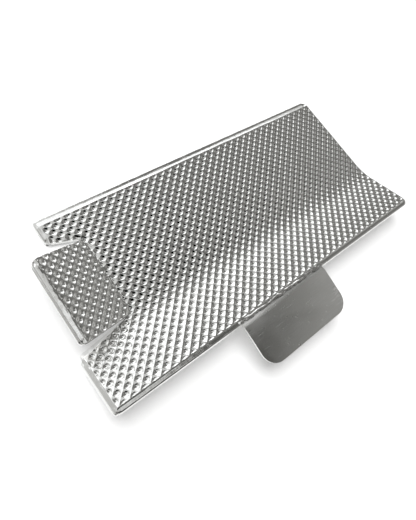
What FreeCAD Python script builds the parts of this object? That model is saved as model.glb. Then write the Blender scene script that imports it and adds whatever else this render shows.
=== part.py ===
# Firewall heat shield: a bent backing plate under an embossed, rolled-edge skin. Millimetres, +Z up.
# The shield lies on the back of its main face, dimpled side up. +X runs along its length, from the
# notched end to the square end, and +Y towards the edge that stays flat.
import FreeCAD, Part
import math
import os
import re
import Sketcher

Vector = FreeCAD.Vector
doc = FreeCAD.newDocument("heat_shield")
sheet = doc.addObject("Spreadsheet::Sheet", "sizes")

# Driving dimensions. Places are measured from the flat top edge (depth) and the upper strip's end (along).
SIZES = {
    "panel_length": 216.0,      # from the upper strip's end to the square end
    "flat_width": 63.6,         # flat part of the main face, up to the long bend
    "bend_radius": 40.0,        # long bend, on the plate's upper side
    "bend_angle": 21.0,
    "flange_width": 30.6,       # flat part of the flange below the bend
    "plate_thickness": 1.6,
    "skin_thickness": 0.5,
    "skin_gap": 0.05,           # clearance between the plate and the skin round it
    "hem_return": 6.0,          # width of the skin turned in under the plate
    "edge_bevel": 0.9,          # bevel of the rolled edges
    "corner_round": 5.0,        # plan corners of the square end
    "tip_round": 2.0,           # plan corners of the notched end
    "fold_along": 18.6,         # crease of the finger
    "finger_angle": 26.0,
    "finger_radius": 3.0,
    "finger_length": 33.0,      # flat part of the finger beyond its crease
    "finger_skew": 3.8,         # how far the finger drifts towards the flange over its length
    "upper_notch_depth": 20.8,  # where the upper notch ends, at the crease
    "upper_strip_depth": 14.3,  # width of the upper strip at its free end
    "lower_notch_depth": 68.8,  # where the lower notch ends, at the crease
    "lower_strip_depth": 77.2,  # where the lower strip starts, at its free end
    "lower_overhang": 16.4,     # how far the lower strip reaches past the upper one
    "tab_along": 59.0,          # near side of the mounting tab
    "tab_width": 64.0,
    "tab_neck": 1.5,            # straight run of the tab before its bend
    "tab_radius": 2.5,
    "tab_drop": 7.0,            # angle of the tab below level
    "tab_length": 25.0,
    "tab_corner": 9.0,
    "tab_clearance": 1.0,       # room beside the tab in the skin's lower hem
    "dimple_pitch": 4.0,        # distance between neighbouring dimples
    "dimple_depth": 0.6,
    "field_rise": 0.65,         # height of the embossed field above the smooth border
    "border_width": 3.0,        # smooth border along the rolled edges
    "cut_border": 0.8,          # smooth border along the cut edges of the notches
    "cutter_reach": 200.0,      # size of the cutting prisms
}
for row, (name, number) in enumerate(SIZES.items(), start=1):
    sheet.set(f"A{row}", name)
    sheet.set(f"B{row}", str(number))
    sheet.setAlias(f"B{row}", name)
doc.recompute()


def bound(words):
    """An expression on the sheet's cells, from plain words such as "panel_length + skin_gap"."""
    return re.sub(r"[a-z_]+", lambda word: f"sizes.{word[0]}" if word[0] in SIZES else word[0], words)


def value(words):
    """The number that such an expression gives now."""
    return float(sheet.evalExpression(bound(words)))


def arc_through(start, end, radius, turn):
    """The short arc from start to end, as a sketch arc, which always runs counter-clockwise."""
    if turn < 0:
        start, end = end, start
    half = (end - start) * 0.5
    rise = Vector(-half.y, half.x, 0).normalize() * (radius**2 - half.Length**2) ** 0.5
    centre = start + half + rise
    circle = Part.Circle(centre, Vector(0, 0, 1), radius)
    return Part.ArcOfCircle(circle, circle.parameter(start), circle.parameter(end))


def closed_sketch(name, corners, arcs=None):
    """A sketch through the corners, each held to the sheet. arcs gives (radius, turn) after a corner."""
    arcs = arcs or {}
    sketch = doc.addObject("Sketcher::SketchObject", name)
    points = [Vector(value(across), value(up), 0) for across, up in corners]
    begins = []
    for corner, point in enumerate(points):
        following = points[(corner + 1) % len(points)]
        if corner in arcs:
            radius, turn = arcs[corner]
            sketch.addGeometry(arc_through(point, following, value(radius), turn))
            begins.append(1 if turn > 0 else 2)
        else:
            sketch.addGeometry(Part.LineSegment(point, following))
            begins.append(1)
    for corner, begin in enumerate(begins):
        before = corner - 1 if corner else len(corners) - 1
        sketch.addConstraint(Sketcher.Constraint("Coincident", before, 3 - begins[before], corner, begin))
    for corner, (across, up) in enumerate(corners):
        for kind, words in (("DistanceX", across), ("DistanceY", up)):
            held = Sketcher.Constraint(kind, -1, 1, corner, begins[corner], value(words))
            sketch.setExpression(f"Constraints[{sketch.addConstraint(held)}]", bound(words))
        if corner in arcs:
            held = Sketcher.Constraint("Radius", corner, value(arcs[corner][0]))
            sketch.setExpression(f"Constraints[{sketch.addConstraint(held)}]", bound(arcs[corner][0]))
    return sketch


# Each sketch lies across the direction that it is extruded in: (sketch x, sketch y, extrusion).
ALONG_LENGTH = (Vector(0, -1, 0), Vector(0, 0, 1), Vector(1, 0, 0))
ALONG_WIDTH = (Vector(-1, 0, 0), Vector(0, 0, 1), Vector(0, -1, 0))
IN_PLAN = (Vector(1, 0, 0), Vector(0, -1, 0), Vector(0, 0, -1))


def extruded(name, corners, axes, begin, length, arcs=None):
    """A closed outline carried along its axis, from begin, over length."""
    sketch = closed_sketch(f"{name}_outline", corners, arcs)
    side, rise, axis = axes
    sketch.Placement.Rotation = FreeCAD.Rotation(side, rise, side.cross(rise), "ZXY")
    letter = "xyz"[[abs(part) for part in axis].index(1)]
    sign = "" if sum(axis) > 0 else "-"
    sketch.setExpression(f"Placement.Base.{letter}", bound(f"{sign} ( {begin} )"))
    solid = doc.addObject("Part::Extrusion", name)
    solid.Base = sketch
    solid.DirMode = "Custom"
    solid.Dir = axis
    solid.setExpression("LengthFwd", bound(length))
    solid.Solid = True
    return solid


def cut(name, base, tool):
    result = doc.addObject("Part::Cut", name)
    result.Base = base
    result.Tool = tool
    return result


def fuse(name, shapes):
    result = doc.addObject("Part::MultiFuse", name)
    result.Shapes = shapes
    return result


def moved(point, angle, distance):
    """A sketch point carried off at an angle from level, as expressions."""
    across, up = point
    return (f"{across} + ( {distance} ) * cos( {angle} )", f"{up} + ( {distance} ) * sin( {angle} )")


# The plate's underside stands off the ground by the hem turned in below it.
PLATE_BASE = "skin_thickness + skin_gap"
# How far the skin's outer side stands off the plate.
SKIN_REACH = "( skin_thickness + skin_gap )"
FACE_CENTRE = ("flat_width", f"{PLATE_BASE} + plate_thickness + bend_radius")
FAR = "cutter_reach"


def bent_outline(start, flat, radius, angle, leg, low, high, reach):
    """Section of a sheet that turns up: from start along the flat, round the bend, then a straight leg.

    low and high are heights above the plate's underside, and reach is how far the leg grows at its end.
    """
    centre = (flat, f"{PLATE_BASE} + plate_thickness + {radius}")
    rows = []
    for height in (low, high):
        ring = f"{radius} + plate_thickness - ( {height} )"
        tangent = moved(centre, f"{angle} - 90", ring)
        level = f"{PLATE_BASE} + {height}"
        rows.append([(start, level), (flat, level), tangent, moved(tangent, angle, f"{leg} + {reach}")])
    inner, outer = (f"{radius} + plate_thickness - ( {height} )" for height in (high, low))
    return rows[0] + rows[1][::-1], {1: (outer, 1), 5: (inner, -1)}


# What counts as a sharp turn between two faces (radians), as an edge across the sheet's thickness, and
# as lying in one place.
SHARP_TURN = 0.5
SHORT_EDGE = 1.2
TOUCHING = 0.01


def sharp_edges(shape):
    """Numbers and edges of the shape's true corners, without the seams where a bend runs on smoothly."""
    found = []
    for number, edge in enumerate(shape.Edges, start=1):
        middle = edge.valueAt((edge.FirstParameter + edge.LastParameter) / 2)
        sides = shape.ancestorsOfType(edge, Part.Face)
        first, second = (side.normalAt(*side.Surface.parameter(middle)) for side in sides)
        if first.getAngle(second) > SHARP_TURN:
            found.append((number, edge))
    return found


def eased(kind, name, base, chosen):
    """The base with the chosen edges rounded or bevelled, each given as (edge number, size)."""
    result = doc.addObject(kind, name)
    result.Base = base
    result.Edges = [(number, size, size) for number, size in chosen]
    doc.recompute()
    return result


def rounded_ends(name, band, reach, joined_end):
    """A band with the plan corners of its free ends rounded. joined_end is where it meets the face."""
    doc.recompute()
    thickness = value(f"plate_thickness + 2 * {SKIN_REACH}")
    chosen = []
    for number, edge in sharp_edges(band.Shape):
        along = edge.CenterOfMass.x
        size = value("corner_round") if along > value("panel_length") / 2 else value("tip_round")
        if edge.Length < thickness * SHORT_EDGE and abs(along - joined_end) > TOUCHING:
            chosen.append((number, size + value(reach)))
    return eased("Part::Fillet", name, band, chosen)


def bevelled_rims(name, band, joined_end):
    """A band with its outer rims bevelled, apart from the end that meets the face."""
    doc.recompute()
    chosen = []
    for number, edge in sharp_edges(band.Shape):
        if abs(edge.CenterOfMass.x - joined_end) > TOUCHING:
            chosen.append((number, value("edge_bevel")))
    return eased("Part::Chamfer", name, band, chosen)


def face_band(name, low, high, reach, begin, length):
    """Main face, long bend and flange, as one band along the length."""
    corners, arcs = bent_outline(
        f"0 - ( {reach} )", "flat_width", "bend_radius", "bend_angle", "flange_width", low, high, reach
    )
    return extruded(name, corners, ALONG_LENGTH, begin, length, arcs)


def finger_band(name, low, high, reach):
    """The finger, turned up at the crease, still as wide as its blank."""
    corners, arcs = bent_outline(
        "0 - fold_along", "0 - fold_along", "finger_radius", "finger_angle", "finger_length", low, high, reach
    )
    # The finger has no flat of its own, so its outline starts with the bend.
    return extruded(name, corners[1:-1], ALONG_WIDTH, "0", FAR, {0: arcs[1], 4: arcs[5]})


# Plan outlines, as (along, depth), of what is cut away beside the two strips and the finger.
DRIFT = f"( fold_along + {FAR} ) * finger_skew / finger_length"
BEYOND_UPPER_STRIP = [
    (f"0 - {FAR}", "upper_strip_depth"),
    ("0", "upper_strip_depth"),
    ("fold_along", "upper_notch_depth"),
    ("fold_along", FAR),
    (f"0 - {FAR}", FAR),
]
ABOVE_LOWER_STRIP = [
    (f"0 - {FAR}", f"0 - {FAR}"),
    ("fold_along", f"0 - {FAR}"),
    ("fold_along", "lower_notch_depth"),
    ("0 - lower_overhang", "lower_strip_depth"),
    (f"0 - {FAR}", "lower_strip_depth"),
]
ABOVE_FINGER = [
    ("fold_along", "upper_notch_depth"),
    ("fold_along", f"0 - {FAR}"),
    (f"0 - {FAR}", f"0 - {FAR}"),
    (f"0 - {FAR}", f"upper_notch_depth + {DRIFT}"),
]
BELOW_FINGER = [
    ("fold_along", "lower_notch_depth"),
    (f"0 - {FAR}", f"lower_notch_depth + {DRIFT}"),
    (f"0 - {FAR}", f"2 * {FAR}"),
    ("fold_along", f"2 * {FAR}"),
]


def plan_prism(name, corners):
    """A plan outline as a tall prism, from well above the shield to well below it."""
    return extruded(name, corners, IN_PLAN, f"0 - {FAR} / 2", FAR)


def shield_form(name, low, high, reach, corners_rounded=True, rims_bevelled=False):
    """The shield's form between two heights above the plate's underside, grown by reach at its free ends."""
    crease = value("fold_along")
    begin = f"0 - ( {reach} )"
    face = face_band(f"{name}_face", low, high, reach, begin, f"panel_length + 2 * ( {reach} )")
    begin = f"0 - lower_overhang - ( {reach} )"
    strip = face_band(f"{name}_strip", low, high, reach, begin, f"fold_along + lower_overhang + {reach}")
    finger = finger_band(f"{name}_finger", low, high, reach)
    if corners_rounded:
        face = rounded_ends(f"{name}_face_ends", face, reach, crease)
        strip = rounded_ends(f"{name}_strip_end", strip, reach, crease)
    if rims_bevelled:
        face = bevelled_rims(f"{name}_face_rims", face, crease)
        strip = bevelled_rims(f"{name}_strip_rims", strip, crease)
    face = cut(f"{name}_face_cut", face, plan_prism(f"{name}_beyond_upper", BEYOND_UPPER_STRIP))
    strip = cut(f"{name}_strip_cut", strip, plan_prism(f"{name}_above_lower", ABOVE_LOWER_STRIP))
    finger = cut(f"{name}_finger_upper", finger, plan_prism(f"{name}_above_finger", ABOVE_FINGER))
    finger = cut(f"{name}_finger_cut", finger, plan_prism(f"{name}_below_finger", BELOW_FINGER))
    return fuse(name, [face, strip, finger])


# Mounting tab: a tongue of the plate that leaves the flange's lower edge, then bends down almost level.
FLANGE_TIP = moved(
    moved(FACE_CENTRE, "bend_angle - 90", "bend_radius + plate_thickness"), "bend_angle", "flange_width"
)
ACROSS_FLANGE = "bend_angle + 90"
ACROSS_TAB = "90 - tab_drop"


def tab_outline():
    """Section of the tab, from a root inside the flange to its tip."""
    root = moved(FLANGE_TIP, "bend_angle", "0 - tab_radius")
    neck = moved(FLANGE_TIP, "bend_angle", "tab_neck")
    centre = moved(neck, ACROSS_FLANGE, "0 - tab_radius")
    under = moved(centre, ACROSS_TAB, "tab_radius")
    over = moved(centre, ACROSS_TAB, "tab_radius + plate_thickness")
    tip = moved(under, "0 - tab_drop", "tab_length")
    corners = [root, neck, under, tip, moved(tip, ACROSS_TAB, "plate_thickness"), over]
    corners += [moved(neck, ACROSS_FLANGE, "plate_thickness"), moved(root, ACROSS_FLANGE, "plate_thickness")]
    return corners, {1: ("tab_radius", -1), 5: ("tab_radius + plate_thickness", 1)}


corners, arcs = tab_outline()
tab_blank = extruded("tab_blank", corners, ALONG_LENGTH, "tab_along", "tab_width", arcs)
doc.recompute()
tab_edges = []
for number, edge in sharp_edges(tab_blank.Shape):
    at_tip = -edge.CenterOfMass.y > value(f"{FLANGE_TIP[0]} + tab_length / 2")
    if at_tip and edge.Length < value("plate_thickness") * SHORT_EDGE:
        tab_edges.append((number, value("tab_corner")))
mounting_tab = eased("Part::Fillet", "mounting_tab", tab_blank, tab_edges)

# Backing plate: the whole form in plain sheet, with the tab grown from it.
plate_form = shield_form("plate_form", "0", "plate_thickness", "0")
backing_plate = fuse("backing_plate", [plate_form, mounting_tab])

# Skin: a closed envelope round the plate, hollowed for it and opened at the back inside the turned-in hem.
ABOVE_PLATE = "plate_thickness + skin_gap"
SKIN_TOP = f"{ABOVE_PLATE} + skin_thickness"
envelope = shield_form("envelope", f"0 - {SKIN_REACH}", SKIN_TOP, SKIN_REACH, rims_bevelled=True)
cavity = shield_form("cavity", "0 - skin_gap", ABOVE_PLATE, "skin_gap")
back_window = shield_form(
    "back_window", f"0 - 2 * {SKIN_REACH}", "plate_thickness / 2", "0 - hem_return", corners_rounded=False
)
skin_shell = cut("skin_shell", cut("skin_hollow", envelope, cavity), back_window)

# The hem is left open where the mounting tab comes out.
WAY_INWARDS = "hem_return + skin_thickness"
way_root = moved(FLANGE_TIP, "bend_angle", f"0 - ( {WAY_INWARDS} )")
way_mouth = moved(FLANGE_TIP, "bend_angle", WAY_INWARDS)
way_outline = [
    moved(way_root, ACROSS_FLANGE, "0 - hem_return"),
    moved(way_mouth, ACROSS_FLANGE, "0 - hem_return"),
    moved(way_mouth, ACROSS_FLANGE, ABOVE_PLATE),
    moved(way_root, ACROSS_FLANGE, ABOVE_PLATE),
]
tab_way = extruded(
    "tab_way", way_outline, ALONG_LENGTH, "tab_along - tab_clearance", "tab_width + 2 * tab_clearance"
)
plain_skin = cut("plain_skin", skin_shell, tab_way)
doc.recompute()

# Embossed field: a checkerboard of squares on the unrolled sheet, every other one pressed in to a point.
# The dimples' own rows then run at 45 degrees to the edges, one pitch apart.
SQUARE = value("dimple_pitch") / math.sqrt(2)
SUNK = value(f"{ABOVE_PLATE} + skin_thickness / 2")
LAND = value(f"{SKIN_TOP} + field_rise")
DENT = LAND - value("dimple_depth")
BORDER = value(f"border_width - {SKIN_REACH}")
CUT_BORDER = value("cut_border")
CREASE = value("fold_along")
CREASE_BORDER = value("cut_border + finger_radius")


def rolled_up(distance, height, flat, radius, angle):
    """Level distance and height of a point given by its distance along the unrolled sheet."""
    skin_radius = radius + value("plate_thickness") - value(SKIN_TOP)
    own_radius = radius + value("plate_thickness") - height
    turn = math.radians(angle)
    bent = min(max((distance - flat) / skin_radius, 0), turn)
    beyond = max(distance - flat - skin_radius * turn, 0)
    level = min(distance, flat) + own_radius * math.sin(bent) + beyond * math.cos(turn)
    rise = radius + value("plate_thickness") - own_radius * math.cos(bent) + beyond * math.sin(turn)
    return level, value(PLATE_BASE) + rise


def on_face(along, depth, height):
    """A point of the unrolled main face and flange, in its place."""
    level, rise = rolled_up(depth, height, value("flat_width"), value("bend_radius"), value("bend_angle"))
    return Vector(along, -level, rise)


def on_finger(along, depth, height):
    """A point of the unrolled finger, in its place."""
    level, rise = rolled_up(-along, height, -CREASE, value("finger_radius"), value("finger_angle"))
    return Vector(-level, -depth, rise)


def unrolled(radius, angle, leg):
    """Length of a bend and its leg, measured on the skin's upper side."""
    return (value(radius) - value(SKIN_REACH)) * math.radians(value(angle)) + value(leg)


def between(along, near, far):
    """The depth at a place along a cut edge, which runs straight from near to far, each (along, depth)."""
    share = (along - near[0]) / (far[0] - near[0])
    return near[1] + share * (far[1] - near[1])


FACE_DEPTH = value("flat_width") + unrolled("bend_radius", "bend_angle", "flange_width")
FINGER_TIP = CREASE - unrolled("finger_radius", "finger_angle", "finger_length")
UPPER_NOTCH = (CREASE, value("upper_notch_depth"))
LOWER_NOTCH = (CREASE, value("lower_notch_depth"))
UPPER_STRIP_END = (0, value("upper_strip_depth"))
LOWER_STRIP_END = (-value("lower_overhang"), value("lower_strip_depth"))


def embossed_on_face(along, depth):
    """Whether the main face, the flange and the two strips are embossed at this place."""
    if not BORDER <= depth <= FACE_DEPTH - BORDER or along > value("panel_length") - BORDER:
        return False
    if along >= CREASE + CREASE_BORDER:
        return True
    if depth < between(along, UPPER_NOTCH, UPPER_STRIP_END) - CUT_BORDER:
        return along >= BORDER
    on_lower_strip = depth > between(along, LOWER_NOTCH, LOWER_STRIP_END) + CUT_BORDER
    return on_lower_strip and along >= LOWER_STRIP_END[0] + BORDER


def embossed_on_finger(along, depth):
    """Whether the finger is embossed at this place."""
    drift = value("finger_skew / finger_length") * (CREASE - along)
    upper = UPPER_NOTCH[1] + drift + CUT_BORDER
    lower = LOWER_NOTCH[1] + drift - CUT_BORDER
    return FINGER_TIP + BORDER <= along <= CREASE - CREASE_BORDER and upper <= depth <= lower


def embossed_field(name, place, embossed, first_along, last_along):
    """The raised field on one stretch of sheet, with its underside sunk into the skin."""
    columns = range(math.floor((first_along - CREASE) / SQUARE), math.ceil((last_along - CREASE) / SQUARE))
    rows = range(math.ceil(FACE_DEPTH / SQUARE))
    corners_of = {}
    for column in columns:
        for row in rows:
            corners = [(column, row), (column, row + 1), (column + 1, row + 1), (column + 1, row)]
            places = [(CREASE + CREASE_BORDER + i * SQUARE, BORDER + j * SQUARE) for i, j in corners]
            if all(embossed(*spot) for spot in places):
                corners_of[(column, row)] = corners
    points = []
    numbers = {}

    def vertex(column, row, height):
        key = (column, row, height)
        if key not in numbers:
            numbers[key] = len(points)
            points.append(place(CREASE + CREASE_BORDER + column * SQUARE, BORDER + row * SQUARE, height))
        return numbers[key]

    facets = []
    for (column, row), corners in corners_of.items():
        top = [vertex(i, j, LAND) for i, j in corners]
        floor = [vertex(i, j, SUNK) for i, j in corners]
        facets += [(floor[0], floor[2], floor[1]), (floor[0], floor[3], floor[2])]
        if (column + row) % 2 == 0:
            dent = vertex(column + 0.5, row + 0.5, DENT)
            facets += [(top[side], top[(side + 1) % 4], dent) for side in range(4)]
        else:
            facets += [(top[0], top[1], top[2]), (top[0], top[2], top[3])]
        beside = [(column - 1, row), (column, row + 1), (column + 1, row), (column, row - 1)]
        for side, neighbour in enumerate(beside):
            if neighbour not in corners_of:
                following = (side + 1) % 4
                facets.append((top[following], top[side], floor[side]))
                facets.append((top[following], floor[side], floor[following]))
    field = doc.addObject("Part::Feature", name)
    shell = Part.Shape()
    shell.makeShapeFromMesh((points, facets), SUNK / 1000)
    field.Shape = Part.makeSolid(shell).removeSplitter()
    print(name, "has", sum((i + j) % 2 == 0 for i, j in corners_of), "dimples")
    return field


face_field = embossed_field(
    "face_field", on_face, embossed_on_face, LOWER_STRIP_END[0], value("panel_length")
)
finger_field = embossed_field("finger_field", on_finger, embossed_on_finger, FINGER_TIP, CREASE)
dimpled_skin = fuse("dimpled_skin", [plain_skin, face_field, finger_field])

# The origin is under the middle of the shield's box, on the surface that it lies on.
tip_depth = value(tab_outline()[0][4][0])
middle_along = value("panel_length - lower_overhang") / 2
middle_depth = (tip_depth - value(SKIN_REACH)) / 2
PARTS = (backing_plate, dimpled_skin)
for part in PARTS:
    part.Placement.Base = Vector(-middle_along, middle_depth, 0)
doc.recompute()

failed = [item.Name for item in doc.Objects if "Invalid" in item.State or "Error" in item.State]
failed += [part.Label for part in PARTS if part.Shape.isNull() or not part.Shape.isValid()]
if failed:
    raise RuntimeError(f"not built: {failed}")
os.makedirs("parts", exist_ok=True)
for part in PARTS:
    part.Shape.exportStep(f"parts/{part.Label}.step")
    box = part.Shape.optimalBoundingBox()
    print(part.Label, len(part.Shape.Solids), "solid,", len(part.Shape.Faces), "faces,", box)
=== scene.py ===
# %% [markdown]
# # A dimpled heat shield
# This lesson dresses a bent aluminium heat shield. The plate and the skin come from the CAD frame at
# their real size. Blender gives the skin its round dimples, its rolled edges and its bright finish.

# %% Load the frame
import math

import bpy
import numpy as np
from mathutils import Matrix, Vector


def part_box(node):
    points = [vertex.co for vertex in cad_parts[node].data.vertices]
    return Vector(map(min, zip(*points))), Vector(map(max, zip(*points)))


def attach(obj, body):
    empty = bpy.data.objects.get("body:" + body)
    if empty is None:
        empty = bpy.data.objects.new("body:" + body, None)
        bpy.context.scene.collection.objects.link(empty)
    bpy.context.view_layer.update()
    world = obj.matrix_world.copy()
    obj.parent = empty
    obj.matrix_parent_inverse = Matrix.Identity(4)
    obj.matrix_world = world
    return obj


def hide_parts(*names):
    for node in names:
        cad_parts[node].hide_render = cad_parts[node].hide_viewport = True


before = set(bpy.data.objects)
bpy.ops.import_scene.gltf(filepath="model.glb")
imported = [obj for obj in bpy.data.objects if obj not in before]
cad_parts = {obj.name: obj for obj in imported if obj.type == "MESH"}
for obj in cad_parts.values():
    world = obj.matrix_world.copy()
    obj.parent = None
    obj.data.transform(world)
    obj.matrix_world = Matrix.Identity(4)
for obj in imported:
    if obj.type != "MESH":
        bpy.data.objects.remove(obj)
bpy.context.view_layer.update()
MM = 0.001

# %% [markdown]
# ## Sizes of the sheet
# The skin is easiest to model flat, as it was before it was bent, and to bend at the end. These are the
# sizes of the bends, in millimetres. Places on the flat sheet are given as "along", from the upper strip's
# end towards the square end, and "depth", from the straight top edge down to the flange's edge.

# %% Sheet sizes
PANEL_LENGTH = 216.0
FLAT_WIDTH = 63.6
BEND_RADIUS = 40.0
BEND_ANGLE = math.radians(21.0)
FLANGE_WIDTH = 30.6
PLATE = 1.6
SKIN = 0.55
CREASE = 18.6
FINGER_ANGLE = math.radians(26.0)
FINGER_RADIUS = 3.0
FINGER_LENGTH = 33.0
LOWER_OVERHANG = 16.4
UPPER_NOTCH = (CREASE, 20.8)
LOWER_NOTCH = (CREASE, 68.8)
UPPER_STRIP_END = (0.0, 14.3)
LOWER_STRIP_END = (-LOWER_OVERHANG, 77.2)
FINGER_SKEW = 3.8
TAB_ALONG = 59.0
TAB_WIDTH = 64.0
SKIN_TOP = PLATE + SKIN
FACE_DEPTH = FLAT_WIDTH + (BEND_RADIUS - SKIN) * BEND_ANGLE + FLANGE_WIDTH
FINGER_TIP = CREASE - (FINGER_RADIUS - SKIN) * FINGER_ANGLE - FINGER_LENGTH
skin_low, skin_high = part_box("dimpled_skin")
# Where the flat sheet's corner lies in the frame: the skin's box starts at the lower strip's outer end.
CORNER_X = skin_low.x / MM + LOWER_OVERHANG + SKIN
CORNER_Y = skin_high.y / MM - SKIN
print("unrolled depth", round(FACE_DEPTH, 1), "finger tip at", round(FINGER_TIP, 1))
print("sheet corner in the frame:", round(CORNER_X, 2), round(CORNER_Y, 2))

# %% [markdown]
# ## Bending the sheet
# A bend keeps distances along the sheet. Up to the bend nothing moves, in the bend the distance becomes an
# angle, and past it the sheet runs straight on at that angle. The same rule bends the long flange and the
# finger, so it is written once, for many points at a time.

# %% Bending rule
def rolled_up(distance, height, flat, radius, angle):
    """Level distance and height of points given by their distance along the flat sheet."""
    skin_radius = radius + PLATE - SKIN_TOP
    own_radius = radius + PLATE - height
    bent = np.clip((distance - flat) / skin_radius, 0, angle)
    beyond = np.maximum(distance - flat - skin_radius * angle, 0)
    level = np.minimum(distance, flat) + own_radius * np.sin(bent) + beyond * math.cos(angle)
    rise = radius + PLATE - own_radius * np.cos(bent) + beyond * math.sin(angle)
    return level, SKIN + rise


def bent_sheet(points, on_finger):
    """Flat points (along, depth, height over the plate's underside) on the bent shield, in metres."""
    along, depth, height = points.T
    level, rise = rolled_up(depth, height, FLAT_WIDTH, BEND_RADIUS, BEND_ANGLE)
    finger_level, finger_rise = rolled_up(-along, height, -CREASE, FINGER_RADIUS, FINGER_ANGLE)
    x = np.where(on_finger, -finger_level, along)
    y = np.where(on_finger, -depth, -level)
    z = np.where(on_finger, finger_rise, rise)
    return np.column_stack([x + CORNER_X, y + CORNER_Y, z]) * MM


finger_end = bent_sheet(np.array([[FINGER_TIP, LOWER_NOTCH[1], SKIN_TOP]]), np.array([True]))[0]
print("the finger rises to", round(finger_end[2] / MM, 1), "mm")

# %% [markdown]
# ## Selecting in edit mode
# Most steps below work on some points, edges or faces of a mesh. These helpers open edit mode with just those
# selected. The select mode is set before, because in another mode Blender would also select every edge
# between two selected points.

# %% Helpers for selecting
def only_select(piece):
    """Deselects everything, then selects this object and makes it active."""
    bpy.ops.object.select_all(action="DESELECT")
    piece.select_set(True)
    bpy.context.view_layer.objects.active = piece


def selected_to(piece, places):
    """Moves the selected vertices, in edit mode, to what places gives for their coordinates."""
    bpy.ops.object.mode_set(mode="OBJECT")
    for vertex in piece.data.vertices:
        if vertex.select:
            vertex.co = places(vertex.co)
    bpy.ops.object.mode_set(mode="EDIT")


def edit_vertices(piece, wanted):
    """Opens edit mode with just the wanted vertices selected, each tested by its coordinates."""
    mesh = piece.data
    for part in (mesh.polygons, mesh.edges):
        part.foreach_set("select", [False] * len(part))
    mesh.vertices.foreach_set("select", [wanted(vertex.co) for vertex in mesh.vertices])
    bpy.context.tool_settings.mesh_select_mode = (True, False, False)
    bpy.ops.object.mode_set(mode="EDIT")


def edit_edges(piece, chosen):
    """Opens edit mode with just the chosen edges selected, given as one true or false for each."""
    mesh = piece.data
    mesh.vertices.foreach_set("select", [False] * len(mesh.vertices))
    mesh.polygons.foreach_set("select", [False] * len(mesh.polygons))
    mesh.edges.foreach_set("select", chosen)
    bpy.context.tool_settings.mesh_select_mode = (False, True, False)
    bpy.ops.object.mode_set(mode="EDIT")


def edit_faces(piece, chosen):
    """Opens edit mode with just the chosen faces selected, given as one true or false for each."""
    mesh = piece.data
    mesh.vertices.foreach_set("select", [False] * len(mesh.vertices))
    mesh.edges.foreach_set("select", [False] * len(mesh.edges))
    mesh.polygons.foreach_set("select", chosen.tolist())
    bpy.context.tool_settings.mesh_select_mode = (False, False, True)
    bpy.ops.object.mode_set(mode="EDIT")


# %% [markdown]
# ## One dimple
# The skin is pressed from thin sheet, with round dents one pitch apart. One tile with one dent is modelled.
# A ring of edges is the dent's rim. Extruding it outwards to a square gives a tile that meets its
# neighbours, and extruding it inwards and downwards twice gives the dent's wall. The small bottom ring needs
# only half the points, so every other edge of it is collapsed, and a fan closes it.

# %% One dimple tile
PITCH = 4.0
RIM_RADIUS = 1.68
DENT_DEPTH = 0.62
SIDES = 16
# Radius and depth of the rings between the rim and the deepest point.
DENT_RINGS = [(1.32, 0.28), (0.76, 0.54)]
BOTTOM_RADIUS = DENT_RINGS[-1][0]
SLACK = 0.05


def to_tile_edge(place):
    """The point of the tile's square edge in the same direction."""
    reach = PITCH / 2 / max(abs(place.x), abs(place.y))
    return Vector((place.x * reach, place.y * reach, 0))


def is_collapsed(ends):
    """Whether an edge, given by its two ends, is one of every other edge of the dent's bottom ring."""
    on_ring = all(abs(place.xy.length - BOTTOM_RADIUS) < SLACK for place in ends)
    middle = ends[0] + ends[1]
    number = math.floor(math.atan2(middle.y, middle.x) / math.tau * SIDES)
    return on_ring and number % 2 == 0


bpy.ops.object.select_all(action="DESELECT")
bpy.ops.mesh.primitive_circle_add(vertices=SIDES, radius=RIM_RADIUS, fill_type="NOTHING")
tile = bpy.context.object
tile.name = "dimple_tile"
edit_vertices(tile, lambda place: True)
bpy.ops.mesh.extrude_edges_move()
selected_to(tile, to_tile_edge)
bpy.ops.object.mode_set(mode="OBJECT")
edit_vertices(tile, lambda place: place.xy.length < RIM_RADIUS + SLACK)
for ring, depth in DENT_RINGS:
    bpy.ops.mesh.extrude_edges_move()
    selected_to(tile, lambda place: place.xy.normalized().to_3d() * ring - Vector((0, 0, depth)))
bpy.ops.object.mode_set(mode="OBJECT")
places = [vertex.co for vertex in tile.data.vertices]
edit_edges(tile, [is_collapsed([places[index] for index in edge.vertices]) for edge in tile.data.edges])
bpy.ops.mesh.merge(type="COLLAPSE")
bpy.ops.object.mode_set(mode="OBJECT")
edit_vertices(tile, lambda place: place.xy.length < BOTTOM_RADIUS + SLACK)
bpy.ops.mesh.edge_face_add()
bpy.ops.mesh.poke()
bpy.ops.object.mode_set(mode="OBJECT")
for vertex in tile.data.vertices:
    if vertex.co.xy.length < SLACK:
        vertex.co.z = -DENT_DEPTH
print("tile faces:", len(tile.data.polygons), "vertices:", len(tile.data.vertices))

# %% [markdown]
# ## The flat embossed sheet
# On the shield the rows of dimples run at 45 degrees to the edges. Two tiles turned by 45 degrees, side by
# side on a diagonal, repeat along both edges, so two Array modifiers lay the whole sheet. Merging joins the
# tiles into one skin. The mesh is in millimetres while it is flat, with depth along minus Y.

# %% Flat sheet
STEP = PITCH * math.sqrt(2)
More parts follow.
